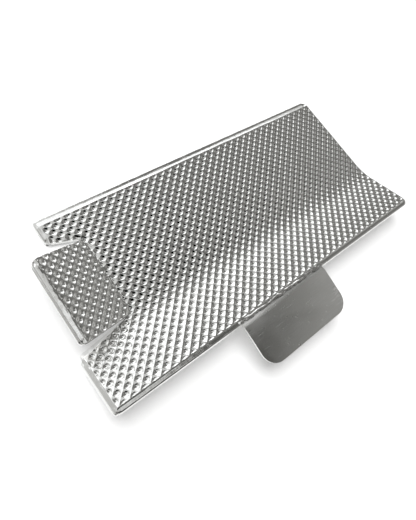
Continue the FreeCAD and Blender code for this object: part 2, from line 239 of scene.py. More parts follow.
# Where the first tile lies on the sheet, so that the rows of dents fall as they do in the photo.
SHEET_START = (-27.28, -6.63)
COLUMNS = 44
ROWS = 22
TILE_MERGE = 0.01
only_select(tile)
tile.rotation_euler.z = math.pi / 4
bpy.ops.object.transform_apply(rotation=True)
bpy.ops.object.duplicate()
neighbour = bpy.context.object
neighbour.location = (STEP / 2, -STEP / 2, 0)
bpy.ops.object.transform_apply(location=True)
tile.select_set(True)
bpy.context.view_layer.objects.active = tile
bpy.ops.object.join()
skin = tile
skin.name = "embossed_skin"
for offset, count in (((STEP, 0, 0), COLUMNS), ((0, -STEP, 0), ROWS)):
    array = skin.modifiers.new("rows", "ARRAY")
    array.use_relative_offset = False
    array.use_constant_offset = True
    array.constant_offset_displace = offset
    array.count = count
    bpy.ops.object.modifier_apply(modifier=array.name)
skin.location = (SHEET_START[0], -SHEET_START[1], 0)
bpy.ops.object.transform_apply(location=True)
bpy.ops.object.mode_set(mode="EDIT")
bpy.ops.mesh.select_all(action="SELECT")
bpy.ops.mesh.remove_doubles(threshold=TILE_MERGE)
bpy.ops.object.mode_set(mode="OBJECT")
print("flat sheet:", len(skin.data.polygons), "faces")

# %% [markdown]
# ## Cutting the blank
# The sheet is cut as with shears: straight cuts along the blank's outline, then the offcuts are deleted. The
# outline is the line where the embossing ends. Rolled edges have a smooth border outside it, and the two
# notches beside the finger are plain cuts. Bisect makes each cut, on the faces near it only.

# %% Blank outline
# Widths of the smooth border outside the embossing, by kind of edge.
TOP, CUT, TAB, END, BOTTOM, RIGHT, LIP = range(7)
BORDERS = {TOP: 4.6, CUT: 1.0, TAB: 2.6, END: 3.2, BOTTOM: 2.6, RIGHT: 1.7, LIP: 1.0}
INNER_LEFT = -SKIN + BORDERS[END]
INNER_TOP = -SKIN + BORDERS[TOP]
INNER_RIGHT = PANEL_LENGTH + SKIN - BORDERS[RIGHT]
INNER_BOTTOM = FACE_DEPTH + SKIN - BORDERS[BOTTOM]
INNER_STRIP = -LOWER_OVERHANG - SKIN + BORDERS[END]
INNER_FINGER = FINGER_TIP - SKIN + BORDERS[END]


def along_cut(along, near, far):
    """The depth of a straight cut at this place along the sheet."""
    return near[1] + (along - near[0]) / (far[0] - near[0]) * (far[1] - near[1])


FINGER_UPPER_END = (CREASE - FINGER_LENGTH, UPPER_NOTCH[1] + FINGER_SKEW)
FINGER_LOWER_END = (CREASE - FINGER_LENGTH, LOWER_NOTCH[1] + FINGER_SKEW)
# Each corner starts an edge of the outline, which is rolled over or cut plain.
BLANK = [
    (INNER_LEFT, INNER_TOP, TOP),
    (INNER_RIGHT, INNER_TOP, RIGHT),
    (INNER_RIGHT, INNER_BOTTOM, BOTTOM),
    (INNER_STRIP, INNER_BOTTOM, END),
    (INNER_STRIP, along_cut(INNER_STRIP, LOWER_NOTCH, LOWER_STRIP_END), LIP),
    (*LOWER_NOTCH, CUT),
    (INNER_FINGER, along_cut(INNER_FINGER, LOWER_NOTCH, FINGER_LOWER_END), END),
    (INNER_FINGER, along_cut(INNER_FINGER, UPPER_NOTCH, FINGER_UPPER_END), CUT),
    (*UPPER_NOTCH, CUT),
    (INNER_LEFT, along_cut(INNER_LEFT, UPPER_NOTCH, UPPER_STRIP_END), END),
]
# Numbers of the edges that need more than their kind says.
BOTTOM_EDGE = 2
LOWER_STRIP_CUT = 4
UPPER_STRIP_CUT = 8
corners = np.array([corner[:2] for corner in BLANK])
kinds = np.array([corner[2] for corner in BLANK])
ends = np.roll(corners, -1, axis=0)
runs = ends - corners
run_lengths = np.linalg.norm(runs, axis=1)
# The outline goes round clockwise as the sheet is seen from above, so its outer side is on the left.
outwards = np.column_stack([runs[:, 1], -runs[:, 0]]) / run_lengths[:, None]


def edge_distances(places):
    """Distance from each place to each edge of the blank, as rows of places and columns of edges."""
    offset = places[:, None, :] - corners[None]
    share = np.clip((offset * runs[None]).sum(2) / run_lengths**2, 0, 1)
    return np.linalg.norm(offset - share[..., None] * runs[None], axis=2)


def inside_blank(places):
    """Whether each place lies inside the outline, by counting the edges crossed on the way out."""
    crossings = np.zeros(len(places), int)
    for start, end in zip(corners, ends):
        spans = (start[1] > places[:, 1]) != (end[1] > places[:, 1])
        rise = np.where(end[1] != start[1], end[1] - start[1], 1)
        meets = start[0] + (places[:, 1] - start[1]) / rise * (end[0] - start[0])
        crossings += spans & (places[:, 0] < meets)
    return crossings % 2 == 1


def flat_centres(piece):
    """Along and depth of each face's centre on the flat sheet."""
    centres = np.empty(len(piece.data.polygons) * 3)
    piece.data.polygons.foreach_get("center", centres)
    centres = centres.reshape(-1, 3)
    return np.column_stack([centres[:, 0], -centres[:, 1]])


def cut_sheet(piece, start, outward, chosen):
    """One straight cut through the chosen faces of the flat sheet."""
    edit_faces(piece, chosen)
    bpy.ops.mesh.bisect(plane_co=(start[0], -start[1], 0), plane_no=(outward[0], -outward[1], 0))
    bpy.ops.object.mode_set(mode="OBJECT")


print("edges of the blank in mm:", run_lengths.round(1).tolist())

# %% [markdown]
# ## Making the cuts
# Each cut runs only through the faces near its own edge, so that it doesn't split the rest of the field.
# Three more lines across the finger's root give the fold points to bend at. Then the offcuts are deleted, and
# slivers beside the cuts are merged away.

# %% Cut the blank
FOLD_LINES = (0.0, 0.55, 1.1)
CUT_MERGE = 0.02
only_select(skin)
for edge in range(len(BLANK)):
    near = edge_distances(flat_centres(skin))[:, edge] < PITCH
    cut_sheet(skin, corners[edge], outwards[edge], near)
for line in FOLD_LINES:
    places = flat_centres(skin)
    near = (abs(places[:, 0] - CREASE + line) < PITCH) & (places[:, 1] > UPPER_NOTCH[1])
    near &= places[:, 1] < LOWER_NOTCH[1]
    cut_sheet(skin, (CREASE - line, 0), (1, 0), near)
edit_faces(skin, ~inside_blank(flat_centres(skin)))
bpy.ops.mesh.delete(type="FACE")
bpy.ops.mesh.select_all(action="SELECT")
bpy.ops.mesh.remove_doubles(threshold=CUT_MERGE)
bpy.ops.object.mode_set(mode="OBJECT")
print("blank:", len(skin.data.polygons), "faces")

# %% [markdown]
# ## Pressing the edges flat
# Where the sheet was cut, rolled or creased, the press flattened the dimples near the edge. The depth of the
# dents fades out over about a millimetre there. Real foil is also a little uneven, so smooth random heights
# are added: slow waves everywhere, and crushing at the crease and at the upper strip's cut.

# %% Flatten the dimples at the edges
FIELD_RISE = 0.65
LAND = SKIN_TOP + FIELD_RISE
EDGE_FADE = 0.8
CREASE_FADE = 2.6
CREASE_LEFT = 0.35
CREASE_MIDDLE = CREASE - 0.5
# The strips' cut edges are pressed into lips: width, how far the lip drops, and how much it is crumpled.
LIPS = {UPPER_STRIP_CUT: (2.9, 0.5, 0.3), LOWER_STRIP_CUT: (1.2, 0.0, 0.0)}
LIP_START = 0.2
LIP_PRESSED = 0.8
LIP_HILLS = (1.8, 9)
# How much the sheet is uneven, how wide its hills are in millimetres, and the seed of their heights.
WEAR = (0.12, 4.1, 3)
CRUSH = (0.55, 1.5, 5)
WAVES = (0.05, 17, 7)
# The land lies this much below its full height, so that the waves stay inside the CAD box.
WAVE_ROOM = 0.06
GRID_SIZE = 160
GRID_START = 60


def flat_points(piece):
    """All vertices of the flat sheet, as along, depth and height."""
    places = np.empty(len(piece.data.vertices) * 3)
    piece.data.vertices.foreach_get("co", places)
    return places.reshape(-1, 3) * (1, -1, 1)


def smooth_step(share):
    share = np.clip(share, 0, 1)
    return share * share * (3 - 2 * share)


def uneven(places, amount, size, seed):
    """Smooth random heights up to the amount over the flat sheet, with hills about this size across."""
    grid = np.random.default_rng(seed).uniform(-1, 1, (GRID_SIZE, GRID_SIZE))
    cell = (places[:, :2] + GRID_START) / size
    low = np.floor(cell).astype(int)
    share = smooth_step(cell - low)
    column, row = (low % (GRID_SIZE - 1)).T
    near = grid[column, row] * (1 - share[:, 0]) + grid[column + 1, row] * share[:, 0]
    far = grid[column, row + 1] * (1 - share[:, 0]) + grid[column + 1, row + 1] * share[:, 0]
    return amount * (near * (1 - share[:, 1]) + far * share[:, 1])


points = flat_points(skin)
to_edge = edge_distances(points[:, :2])
nearest = to_edge.min(axis=1)
in_fold = (points[:, 1] > UPPER_NOTCH[1] - 0.01) & (points[:, 1] < LOWER_NOTCH[1] + 0.01)
to_crease = np.where(in_fold, abs(points[:, 0] - CREASE_MIDDLE), CREASE_FADE)
from_crease = smooth_step(to_crease / CREASE_FADE)
pressed = smooth_step(nearest / EDGE_FADE) * (CREASE_LEFT + (1 - CREASE_LEFT) * from_crease)
crushed = abs(uneven(points, *CRUSH)) * (1 - from_crease)
for edge, (width, drop, crumple) in LIPS.items():
    lip = 1 - smooth_step((to_edge[:, edge] - LIP_START) / width)
    pressed *= 1 - LIP_PRESSED * lip
    crushed += lip * (drop + uneven(points, crumple, *LIP_HILLS))
dents = points[:, 2] * pressed * (1 + uneven(points, *WEAR))
points[:, 2] = LAND - WAVE_ROOM + dents + uneven(points, *WAVES) - crushed
skin.data.vertices.foreach_set("co", (points * (1, -1, 1)).ravel())
print("heights of the field in mm:", round(points[:, 2].min(), 2), "to", round(points[:, 2].max(), 2))

# %% [markdown]
# ## Marking the finger
# The finger is bent apart from the rest of the sheet, so its points have to be known later. They are noted in
# an attribute of the mesh, because points that are extruded from them inherit it.

# %% Mark the finger
finger_upper = along_cut(points[:, 0], UPPER_NOTCH, FINGER_UPPER_END)
finger_lower = along_cut(points[:, 0], LOWER_NOTCH, FINGER_LOWER_END)
on_finger = points[:, 0] < CREASE
on_finger &= (points[:, 1] > finger_upper - SLACK) & (points[:, 1] < finger_lower + SLACK)
finger_mark = skin.data.attributes.new("on_finger", "FLOAT", "POINT")
finger_mark.data.foreach_set("value", on_finger.astype(float))
print("points on the finger:", int(on_finger.sum()))

# %% [markdown]
# ## Rolling the edges
# The border outside the embossing is smooth. It drops a little, rounds over the plate's edge and comes back
# in under the plate. That section is a short list of steps outwards and downwards. The open edge is extruded
# once for each step, and each new row of points is set to its step from where its edge began.

# %% Sections of the edges
# Steps outwards from the embossing and heights over the plate's underside.
# Outwards, 1 is the border's full width there.
HEM = [(1.0, 0.4), (0.95, -0.2), (0.83, -0.48), (-0.9, -0.55), (-0.9, -0.05)]
FLAT_LIP = [(0.06, 2.68), (0.15, 2.52), (0.37, 2.24), (0.55, 2.02), (0.7, 1.96), (0.86, 1.92), (0.95, 1.76)]
ROUND = [(0.06, 2.68), (0.16, 2.55), (0.34, 2.26), (0.53, 1.96), (0.69, 1.72), (0.81, 1.38), (0.91, 0.98)]
STEPPED = [(0.04, 2.6), (0.1, 2.28), (0.16, 2.14), (0.37, 2.08), (0.62, 2.0), (0.84, 1.88), (0.94, 1.66)]
SECTIONS = {
    TOP: FLAT_LIP + [(0.99, 1.4)] + HEM,
    RIGHT: FLAT_LIP + [(0.99, 1.4)] + HEM,
    END: ROUND + [(0.97, 0.7)] + HEM,
    BOTTOM: STEPPED + [(0.99, 1.25)] + HEM,
    CUT: [(0.08, 2.55), (0.18, 2.2), (0.25, 1.8), (0.28, 1.4), (0.28, 0.8), (0.2, 0.2), (0.1, 0.05)],
    TAB: [(0.04, 2.6), (0.1, 2.3), (0.16, 2.2), (0.37, 2.22), (0.62, 2.3), (0.85, 2.25), (0.9, 2.05)],
    LIP: [(0.08, 2.6), (0.25, 2.3), (0.55, 1.7), (0.8, 1.1), (0.95, 0.5), (1.0, 0.2), (0.9, 0.05)],
}
STEPS = max(len(section) for section in SECTIONS.values())
print("steps of the longest section:", STEPS)

# %% [markdown]
# ## Which way each edge goes
# Every point on the outline needs the direction in which its edge is rolled, and the kind of its edge. At a
# corner two edges meet, and the direction is the one that gives both their full width. Beside the tab the
# foil ends in a torn edge on the tab's surface. All this is kept as attributes too, together with the point's
# own place, which is its foot.

# %% Directions of the edges
ON_EDGE = 0.03
TAB_GAP = 1.0
# The lip beside the finger starts with this share of its border's width at the notch, and grows by its reach.
LIP_ROOT = 0.3
LIP_REACH = 3.6
NOTCH_ROOT = 0.3
points = flat_points(skin)
touching = edge_distances(points[:, :2]) < ON_EDGE
outward_of = np.zeros((len(points), 2))
kind_of = np.full(len(points), float(TOP))
for edge, kind in enumerate(kinds):
    here = touching[:, edge]
    outward_of[here] = outwards[edge] * BORDERS[kind]
    kind_of[here] = kind
beside_finger = touching[:, LOWER_STRIP_CUT]
from_root = np.clip((LOWER_NOTCH[0] - points[:, 0]) / (LOWER_NOTCH[0] + LOWER_OVERHANG), 0, 1)
outward_of[beside_finger] *= (LIP_ROOT + LIP_REACH * from_root[beside_finger])[:, None]
# At a corner the border keeps both edges' widths. Where a cut ends, the border runs on along the cut.
for edge, kind in enumerate(kinds):
    before = edge - 1
    here = touching[:, edge] & touching[:, before]
    plain = [kinds[side] in (CUT, LIP) for side in (before, edge)]
    widths = [0 if cut else BORDERS[kinds[side]] for cut, side in zip(plain, (before, edge))]
    if all(plain):
        outward_of[here] = (outwards[before] + outwards[edge]) * NOTCH_ROOT
        continue
    outward_of[here] = np.linalg.solve([outwards[before], outwards[edge]], widths)
    kind_of[here] = kinds[before] if plain[1] else kind
bottom = touching[:, BOTTOM_EDGE]
beside_tab = (points[:, 0] > TAB_ALONG - TAB_GAP) & (points[:, 0] < TAB_ALONG + TAB_WIDTH + TAB_GAP)
kind_of[bottom & beside_tab] = TAB
noted = {
    "out_along": outward_of[:, 0],
    "out_depth": outward_of[:, 1],
    "edge_kind": kind_of,
    "foot_along": points[:, 0],
    "foot_depth": points[:, 1],
}
for name, values in noted.items():
    skin.data.attributes.new(name, "FLOAT", "POINT").data.foreach_set("value", values)
print("points on the outline:", int(touching.any(axis=1).sum()))

# %% [markdown]
# ## Rolling step by step
# The open edge is extruded, and each new row of points goes to its step of the section, measured from its
# foot. The upper side of an edge is crumpled a little. The hem below is left smooth, so that nothing comes
# under the surface that the shield lies on.

# %% Roll the edges
# How much each kind of edge is crumpled, where its section is above this height.
CRUMPLE = {TOP: 0.04, CUT: 0.2, TAB: 0.22, END: 0.09, BOTTOM: 0.06, RIGHT: 0.03, LIP: 0.15}
UPPER_SIDE = 0.6
CRUMPLE_SIZE = 2.3
CRUMPLE_SEED = 11
# Torn foil ends unevenly, by this share of its width.
TORN = {TAB: 0.22}
TORN_HILLS = (1.4, 31)
ROLL_MERGE = 0.001


def marks(piece, name):
    """One of the values that were noted for every point."""
    values = np.empty(len(piece.data.vertices))
    piece.data.attributes[name].data.foreach_get("value", values)
    return values


only_select(skin)
bpy.ops.object.mode_set(mode="EDIT")
bpy.ops.mesh.select_mode(type="EDGE")
bpy.ops.mesh.select_all(action="DESELECT")
bpy.ops.mesh.select_non_manifold(extend=False, use_wire=False, use_multi_face=False, use_non_contiguous=False,
                                 use_verts=False)
for step in range(STEPS):
    bpy.ops.mesh.extrude_edges_move()
    bpy.ops.object.mode_set(mode="OBJECT")
    points = flat_points(skin)
    moving = np.zeros(len(points), bool)
    skin.data.vertices.foreach_get("select", moving)
    edge_kind = marks(skin, "edge_kind")
    feet = np.column_stack([marks(skin, "foot_along"), marks(skin, "foot_depth")])
    outward = np.column_stack([marks(skin, "out_along"), marks(skin, "out_depth")])
    for kind, section in SECTIONS.items():
        row = moving & (np.abs(edge_kind - kind) < 0.1)
        out, height = section[min(step, len(section) - 1)]
        crumple = CRUMPLE[kind] if height > UPPER_SIDE else 0
        torn = 1 + uneven(feet[row], TORN.get(kind, 0), *TORN_HILLS)
        points[row, :2] = feet[row] + (out * torn)[:, None] * outward[row]
        points[row, 2] = height + uneven(points[row], crumple, CRUMPLE_SIZE, CRUMPLE_SEED + step)
    skin.data.vertices.foreach_set("co", (points * (1, -1, 1)).ravel())
    bpy.ops.object.mode_set(mode="EDIT")
bpy.ops.mesh.select_all(action="SELECT")
bpy.ops.mesh.remove_doubles(threshold=ROLL_MERGE)
bpy.ops.object.mode_set(mode="OBJECT")
print("with rolled edges:", len(skin.data.polygons), "faces")

# %% [markdown]
# ## Rounding the corners
# The outer corners of the skin are round in plan, most of all at the square end. Points past a corner's
# centre are pulled in so that the corner becomes part of a circle, which also draws the dimples there a
# little closer. Where a slanted cut meets an end, the same is done along the cut's own direction.

# %% Round the corners
CORNER_REACH = 1.5
points = flat_points(skin)
OUTER_RIGHT = PANEL_LENGTH + SKIN
OUTER_BOTTOM = FACE_DEPTH + SKIN
OUTER_STRIP = -LOWER_OVERHANG - SKIN
OUTER_FINGER = FINGER_TIP - SKIN
on_finger = marks(skin, "on_finger") > 0.5


def past_cut(along, near, far, inwards):
    """A corner where a cut meets the end of a strip: its place, and the cut's direction from there."""
    line = Vector((near[0] - far[0], near[1] - far[1])).normalized()
    return (along, along_cut(along, near, far)), (line.x, line.y), (0, inwards)


# Each corner's place, the directions of its two edges, its radius, and whether it is on the finger.
ROUND_CORNERS = [
    ((OUTER_RIGHT, -SKIN), (-1, 0), (0, 1), 5.5, False),
    ((OUTER_RIGHT, OUTER_BOTTOM), (-1, 0), (0, -1), 5.5, False),
    ((-SKIN, -SKIN), (1, 0), (0, 1), 2.5, False),
    ((OUTER_STRIP, OUTER_BOTTOM), (1, 0), (0, -1), 2.5, False),
    (*past_cut(-SKIN, UPPER_NOTCH, UPPER_STRIP_END, -1), 3.0, False),
    (*past_cut(OUTER_STRIP, LOWER_NOTCH, LOWER_STRIP_END, 1), 3.5, False),
    (*past_cut(OUTER_FINGER, UPPER_NOTCH, FINGER_UPPER_END, 1), 4.5, True),
    (*past_cut(OUTER_FINGER, LOWER_NOTCH, FINGER_LOWER_END, -1), 3.0, True),
]
for place, first, second, radius, finger in ROUND_CORNERS:
    edges = np.array([first, second]).T
    past = radius - np.linalg.solve(edges, (points[:, :2] - place).T).T
    corner = (past > 0).all(axis=1) & (past < radius * CORNER_REACH).all(axis=1) & (on_finger == finger)
    square = past[corner].max(axis=1) / np.linalg.norm(past[corner], axis=1)
    rounded = radius - past[corner] * square[:, None]
    points[corner, :2] = np.array(place) + rounded @ edges.T
print("rounded corners:", len(ROUND_CORNERS))

# %% [markdown]
# ## Bending the skin
# Every point goes to its place on the bent shield, in metres, and the notes in the attributes have done their
# work. The faces are turned to look outwards: on an open sheet Blender can choose either side, so the side
# that looks up is checked.

# %% Bend the skin
skin.data.vertices.foreach_set("co", bent_sheet(points, on_finger).ravel())
for name in ("on_finger", *noted):
    skin.data.attributes.remove(skin.data.attributes[name])
skin.data.update()
only_select(skin)
bpy.ops.object.mode_set(mode="EDIT")
bpy.ops.mesh.select_all(action="SELECT")
bpy.ops.mesh.normals_make_consistent(inside=False)
bpy.ops.object.mode_set(mode="OBJECT")
normals = np.empty(len(skin.data.polygons) * 3)
skin.data.polygons.foreach_get("normal", normals)
if normals.reshape(-1, 3)[:, 2].mean() < 0:
    bpy.ops.object.mode_set(mode="EDIT")
    bpy.ops.mesh.flip_normals()
    bpy.ops.object.mode_set(mode="OBJECT")
bpy.ops.object.shade_smooth()
triangles = sum(len(face.vertices) - 2 for face in skin.data.polygons)
print("skin triangles:", triangles)
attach(skin, "root")
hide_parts("dimpled_skin")

# %% [markdown]
# ## The plate's edges and corners
# The plate is plain sheet, cut with shears and eased by the rolling, so its corners beside the notches are
# round and none of its edges is sharp. The CAD plate has the right form with square edges. A copy of its
# mesh is cleaned of doubled points and flat seams, and two bevels ease it: a wide one on the four short
# edges at the notches' ends, and a small one on every sharp edge.

# %% Plate
plate_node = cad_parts["backing_plate"]
bpy.ops.object.select_all(action="DESELECT")
bpy.ops.mesh.primitive_plane_add(size=1)
plate = bpy.context.object
plate.name = "eased_plate"
plate.data = plate_node.data.copy()
plate.data.materials.clear()
bpy.ops.object.mode_set(mode="EDIT")
bpy.ops.mesh.select_all(action="SELECT")
bpy.ops.mesh.remove_doubles(threshold=0.000002)
bpy.ops.mesh.dissolve_limited(angle_limit=math.radians(0.6))
bpy.ops.object.mode_set(mode="OBJECT")
EASING = 0.45 * MM
# How far a corner's point may lie from where it is looked for, and the shortest edge through the plate.
NEAR_CORNER = 1.6 * MM
SHORTEST = 1.2 * MM
# Where the notches' cuts meet the ends of the strips and of the finger, and the radius there in millimetres.
PLATE_CORNERS = [
    ((0.0, along_cut(0.0, UPPER_NOTCH, UPPER_STRIP_END)), False, 2.4),
    ((-LOWER_OVERHANG, along_cut(-LOWER_OVERHANG, LOWER_NOTCH, LOWER_STRIP_END)), False, 2.9),
    ((FINGER_TIP, along_cut(FINGER_TIP, UPPER_NOTCH, FINGER_UPPER_END)), True, 3.9),
    ((FINGER_TIP, along_cut(FINGER_TIP, LOWER_NOTCH, FINGER_LOWER_END)), True, 2.4),
]
for (along, depth), finger, radius in PLATE_CORNERS:
    flat = np.array([(along, depth, 0.0), (along, depth, PLATE)])
    low, high = (Vector(point) for point in bent_sheet(flat, np.array([finger, finger])))
    places = [vertex.co for vertex in plate.data.vertices]
    near_low = [(place - low).length < NEAR_CORNER for place in places]
    near_high = [(place - high).length < NEAR_CORNER for place in places]
    chosen = []
    for edge in plate.data.edges:
        first, second = edge.vertices
        upright = (near_low[first] and near_high[second]) or (near_low[second] and near_high[first])
        chosen.append(upright and (places[first] - places[second]).length > SHORTEST)
    print("corner edges found:", sum(chosen))
    edit_edges(plate, chosen)
    bpy.ops.mesh.bevel(offset=radius * MM, segments=5, affect="EDGES")
    bpy.ops.object.mode_set(mode="OBJECT")
bpy.ops.object.mode_set(mode="EDIT")
bpy.ops.mesh.select_all(action="DESELECT")
bpy.ops.mesh.select_mode(type="EDGE")
bpy.ops.mesh.edges_select_sharp(sharpness=math.radians(50))
bpy.ops.mesh.bevel(offset=EASING, segments=2, affect="EDGES", clamp_overlap=True)
bpy.ops.mesh.select_all(action="SELECT")
bpy.ops.mesh.normals_make_consistent(inside=False)
bpy.ops.object.mode_set(mode="OBJECT")
only_select(plate)
bpy.ops.object.shade_smooth_by_angle(angle=math.radians(35))
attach(plate, "root")
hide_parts("backing_plate")
print("plate faces:", len(plate.data.polygons))

# %% [markdown]
# ## Finishes
# Both sheets are bare aluminium, so both are metal, and they differ in how rough they are. Rolled sheet has
# fine lines along the rolling direction, small scratches from handling and dull specks. These effects are
# node groups, built once and used by both finishes with their own values. They read Object coordinates, which
# are metres here, so a scale of 1000 counts millimetres.

# %% Helpers for node groups
def new_group(name, inputs, outputs):
    """A shader node group with named value inputs and outputs, and its two end nodes."""
    group = bpy.data.node_groups.new(name, "ShaderNodeTree")
    for label, kind, value in inputs:
        socket = group.interface.new_socket(label, in_out="INPUT", socket_type=kind)
        socket.default_value = value
    for label, kind in outputs:
        group.interface.new_socket(label, in_out="OUTPUT", socket_type=kind)
    return group, group.nodes.new("NodeGroupInput"), group.nodes.new("NodeGroupOutput")


def noise(tree, place, scale, detail):
    """A noise texture at a scale in features per metre."""
    node = tree.nodes.new("ShaderNodeTexNoise")
    node.inputs["Scale"].default_value = scale
    node.inputs["Detail"].default_value = detail
    tree.links.new(place, node.inputs["Vector"])
    return node.outputs["Fac"]


def ranged(tree, source, low, high, to_low=0.0, to_high=1.0):
    """A smooth step of a value from one range to another."""
    node = tree.nodes.new("ShaderNodeMapRange")
    node.interpolation_type = "SMOOTHSTEP"
    node.inputs["From Min"].default_value = low
    node.inputs["From Max"].default_value = high
    node.inputs["To Min"].default_value = to_low
    node.inputs["To Max"].default_value = to_high
    tree.links.new(source, node.inputs["Value"])
    return node.outputs["Result"]


def combined(tree, operation, first, second):
    """A math node with two inputs, each a socket or a number."""
    node = tree.nodes.new("ShaderNodeMath")
    node.operation = operation
    for socket, source in zip(node.inputs, (first, second)):
        if isinstance(source, (int, float)):
            socket.default_value = source
        else:
            tree.links.new(source, socket)
    return node.outputs[0]


def stretched(tree, place, scale, turn):
    """Coordinates turned about Z and stretched, for marks that are longer than they are wide."""
    node = tree.nodes.new("ShaderNodeMapping")
    node.inputs["Rotation"].default_value = (0, 0, turn)
    node.inputs["Scale"].default_value = scale
    tree.links.new(place, node.inputs["Vector"])
    return node.outputs["Vector"]


# %% [markdown]
# ### Handling scratches
# Hairline scratches lie in several directions. A noise that is stretched a hundred times longer than wide
# gives lines, and only its peaks are kept. A second, broad noise breaks the lines up, so that the scratches
# come in patches and end somewhere.

# %% Scratches group
scratches, start_node, end_node = new_group(
    "handling_scratches",
    [("Place", "NodeSocketVector", (0, 0, 0)), ("Amount", "NodeSocketFloat", 1.0)],
    [("Mask", "NodeSocketFloat")],
)
place = start_node.outputs["Place"]
SCRATCH_TURNS = (0.35, 1.2, 2.3, 2.9)
mask = None
for number, turn in enumerate(SCRATCH_TURNS):
    lines = noise(scratches, stretched(scratches, place, (60, 5200, 5200), turn), 1.0, 2.0)
    peaks = ranged(scratches, lines, 0.66, 0.74)
    patches = ranged(scratches, noise(scratches, place, 70.0 + 25 * number, 1.0), 0.5, 0.62)
    broken = combined(scratches, "MULTIPLY", peaks, patches)
    mask = broken if mask is None else combined(scratches, "MAXIMUM", mask, broken)
mask = combined(scratches, "MULTIPLY", mask, start_node.outputs["Amount"])
scratches.links.new(mask, end_node.inputs["Mask"])
print("scratch directions:", len(SCRATCH_TURNS))

# %% [markdown]
# ### Specks and stains
# Bare aluminium picks up small dull specks and cloudy finger marks. Specks are the centres of a Voronoi
# pattern, kept only in some cells. The clouds are a slow noise.

# %% Specks group
specks, start_node, end_node = new_group(
    "dull_specks",
    [("Place", "NodeSocketVector", (0, 0, 0)), ("Scale", "NodeSocketFloat", 500.0)],
    [("Specks", "NodeSocketFloat"), ("Clouds", "NodeSocketFloat")],
)
cells = specks.nodes.new("ShaderNodeTexVoronoi")
specks.links.new(start_node.outputs["Place"], cells.inputs["Vector"])
specks.links.new(start_node.outputs["Scale"], cells.inputs["Scale"])
dots = ranged(specks, cells.outputs["Distance"], 0.22, 0.1)
chosen = specks.nodes.new("ShaderNodeSeparateColor")
specks.links.new(cells.outputs["Color"], chosen.inputs["Color"])
kept = ranged(specks, chosen.outputs["Red"], 0.6, 0.9)
specks.links.new(combined(specks, "MULTIPLY", dots, kept), end_node.inputs["Specks"])
clouds = noise(specks, start_node.outputs["Place"], 45.0, 3.0)
specks.links.new(ranged(specks, clouds, 0.35, 0.7), end_node.inputs["Clouds"])
print("nodes in the specks group:", len(specks.nodes))

# %% [markdown]
# ### Bright embossed foil
# The skin is bright rolled foil. It mirrors the room, a little dulled by specks and clouds. Tiny dents from
# pressing break up the reflections, and a fine grain keeps the smooth borders from looking like glass.

# %% Foil finish
def put_group(material, group, **values):
    """Places a node group in a material, with its own values."""
    node = material.node_tree.nodes.new("ShaderNodeGroup")
    node.node_tree = group
    for label, value in values.items():
        node.inputs[label].default_value = value
    return node


def tinted(material, mask, dark, light):
    """A colour that goes from dark to light with a mask."""
    node = material.node_tree.nodes.new("ShaderNodeMix")
    node.data_type = "RGBA"
    node.inputs["A"].default_value = (*dark, 1)
    node.inputs["B"].default_value = (*light, 1)
    material.node_tree.links.new(mask, node.inputs["Factor"])
    return node.outputs["Result"]


def bare_metal(name):
    """A metal material with its Object coordinates."""
    material = bpy.data.materials.new(name)
    material.use_nodes = True
    shader = material.node_tree.nodes["Principled BSDF"]
    shader.inputs["Metallic"].default_value = 1
    where = material.node_tree.nodes.new("ShaderNodeTexCoord")
    return material, shader, where.outputs["Object"]


def bumped(material, shader, height, strength, distance):
    """Feeds a height into the shader's normal."""
    node = material.node_tree.nodes.new("ShaderNodeBump")
    node.inputs["Strength"].default_value = strength
    node.inputs["Distance"].default_value = distance
    material.node_tree.links.new(height, node.inputs["Height"])
    material.node_tree.links.new(node.outputs["Normal"], shader.inputs["Normal"])


bright, shader, place = bare_metal("bright_embossed_aluminium")
tree = bright.node_tree
marks_on_foil = put_group(bright, scratches, Amount=0.8)
dirt = put_group(bright, specks, Scale=420.0)
tree.links.new(place, marks_on_foil.inputs["Place"])
tree.links.new(place, dirt.inputs["Place"])
faint_clouds = combined(tree, "MULTIPLY", dirt.outputs["Clouds"], 0.35)
dulled = combined(tree, "MAXIMUM", dirt.outputs["Specks"], faint_clouds)
tree.links.new(tinted(bright, dulled, (0.87, 0.87, 0.86), (0.7, 0.7, 0.68)), shader.inputs["Base Color"])
grain = noise(tree, place, 2600.0, 2.0)
grain_and_dirt = combined(tree, "ADD", combined(tree, "MULTIPLY", grain, 0.4), dulled)
rough = ranged(tree, grain_and_dirt, 0.1, 1.1, 0.09, 0.3)
rough_marks = combined(tree, "MULTIPLY", marks_on_foil.outputs["Mask"], 0.12)
tree.links.new(combined(tree, "ADD", rough, rough_marks), shader.inputs["Roughness"])
sunk_marks = combined(tree, "MULTIPLY", marks_on_foil.outputs["Mask"], -0.5)
creased = combined(tree, "ADD", noise(tree, place, 900.0, 2.0), sunk_marks)
bumped(bright, shader, creased, 0.25, 0.00012)
print("nodes in the foil's finish:", len(tree.nodes))

# %% [markdown]
# ### Mill-finish plate
# The plate behind is thicker sheet, left as it came from the rolling mill: satin, with fine lines along the
# sheet, dull specks and a few scratches. Only its tab shows from the front, and its back shows from behind.

# %% Plate finish
mill, shader, place = bare_metal("mill_finish_aluminium")
tree = mill.node_tree
marks_on_plate = put_group(mill, scratches, Amount=1.0)
dirt = put_group(mill, specks, Scale=380.0)
tree.links.new(place, marks_on_plate.inputs["Place"])
tree.links.new(place, dirt.inputs["Place"])
rolled_lines = noise(tree, stretched(tree, place, (90, 2400, 2400), 0.0), 1.0, 3.0)
half_lines = combined(tree, "MULTIPLY", rolled_lines, 0.5)
half_clouds = combined(tree, "MULTIPLY", dirt.outputs["Clouds"], 0.5)
satin = combined(tree, "ADD", half_lines, half_clouds)
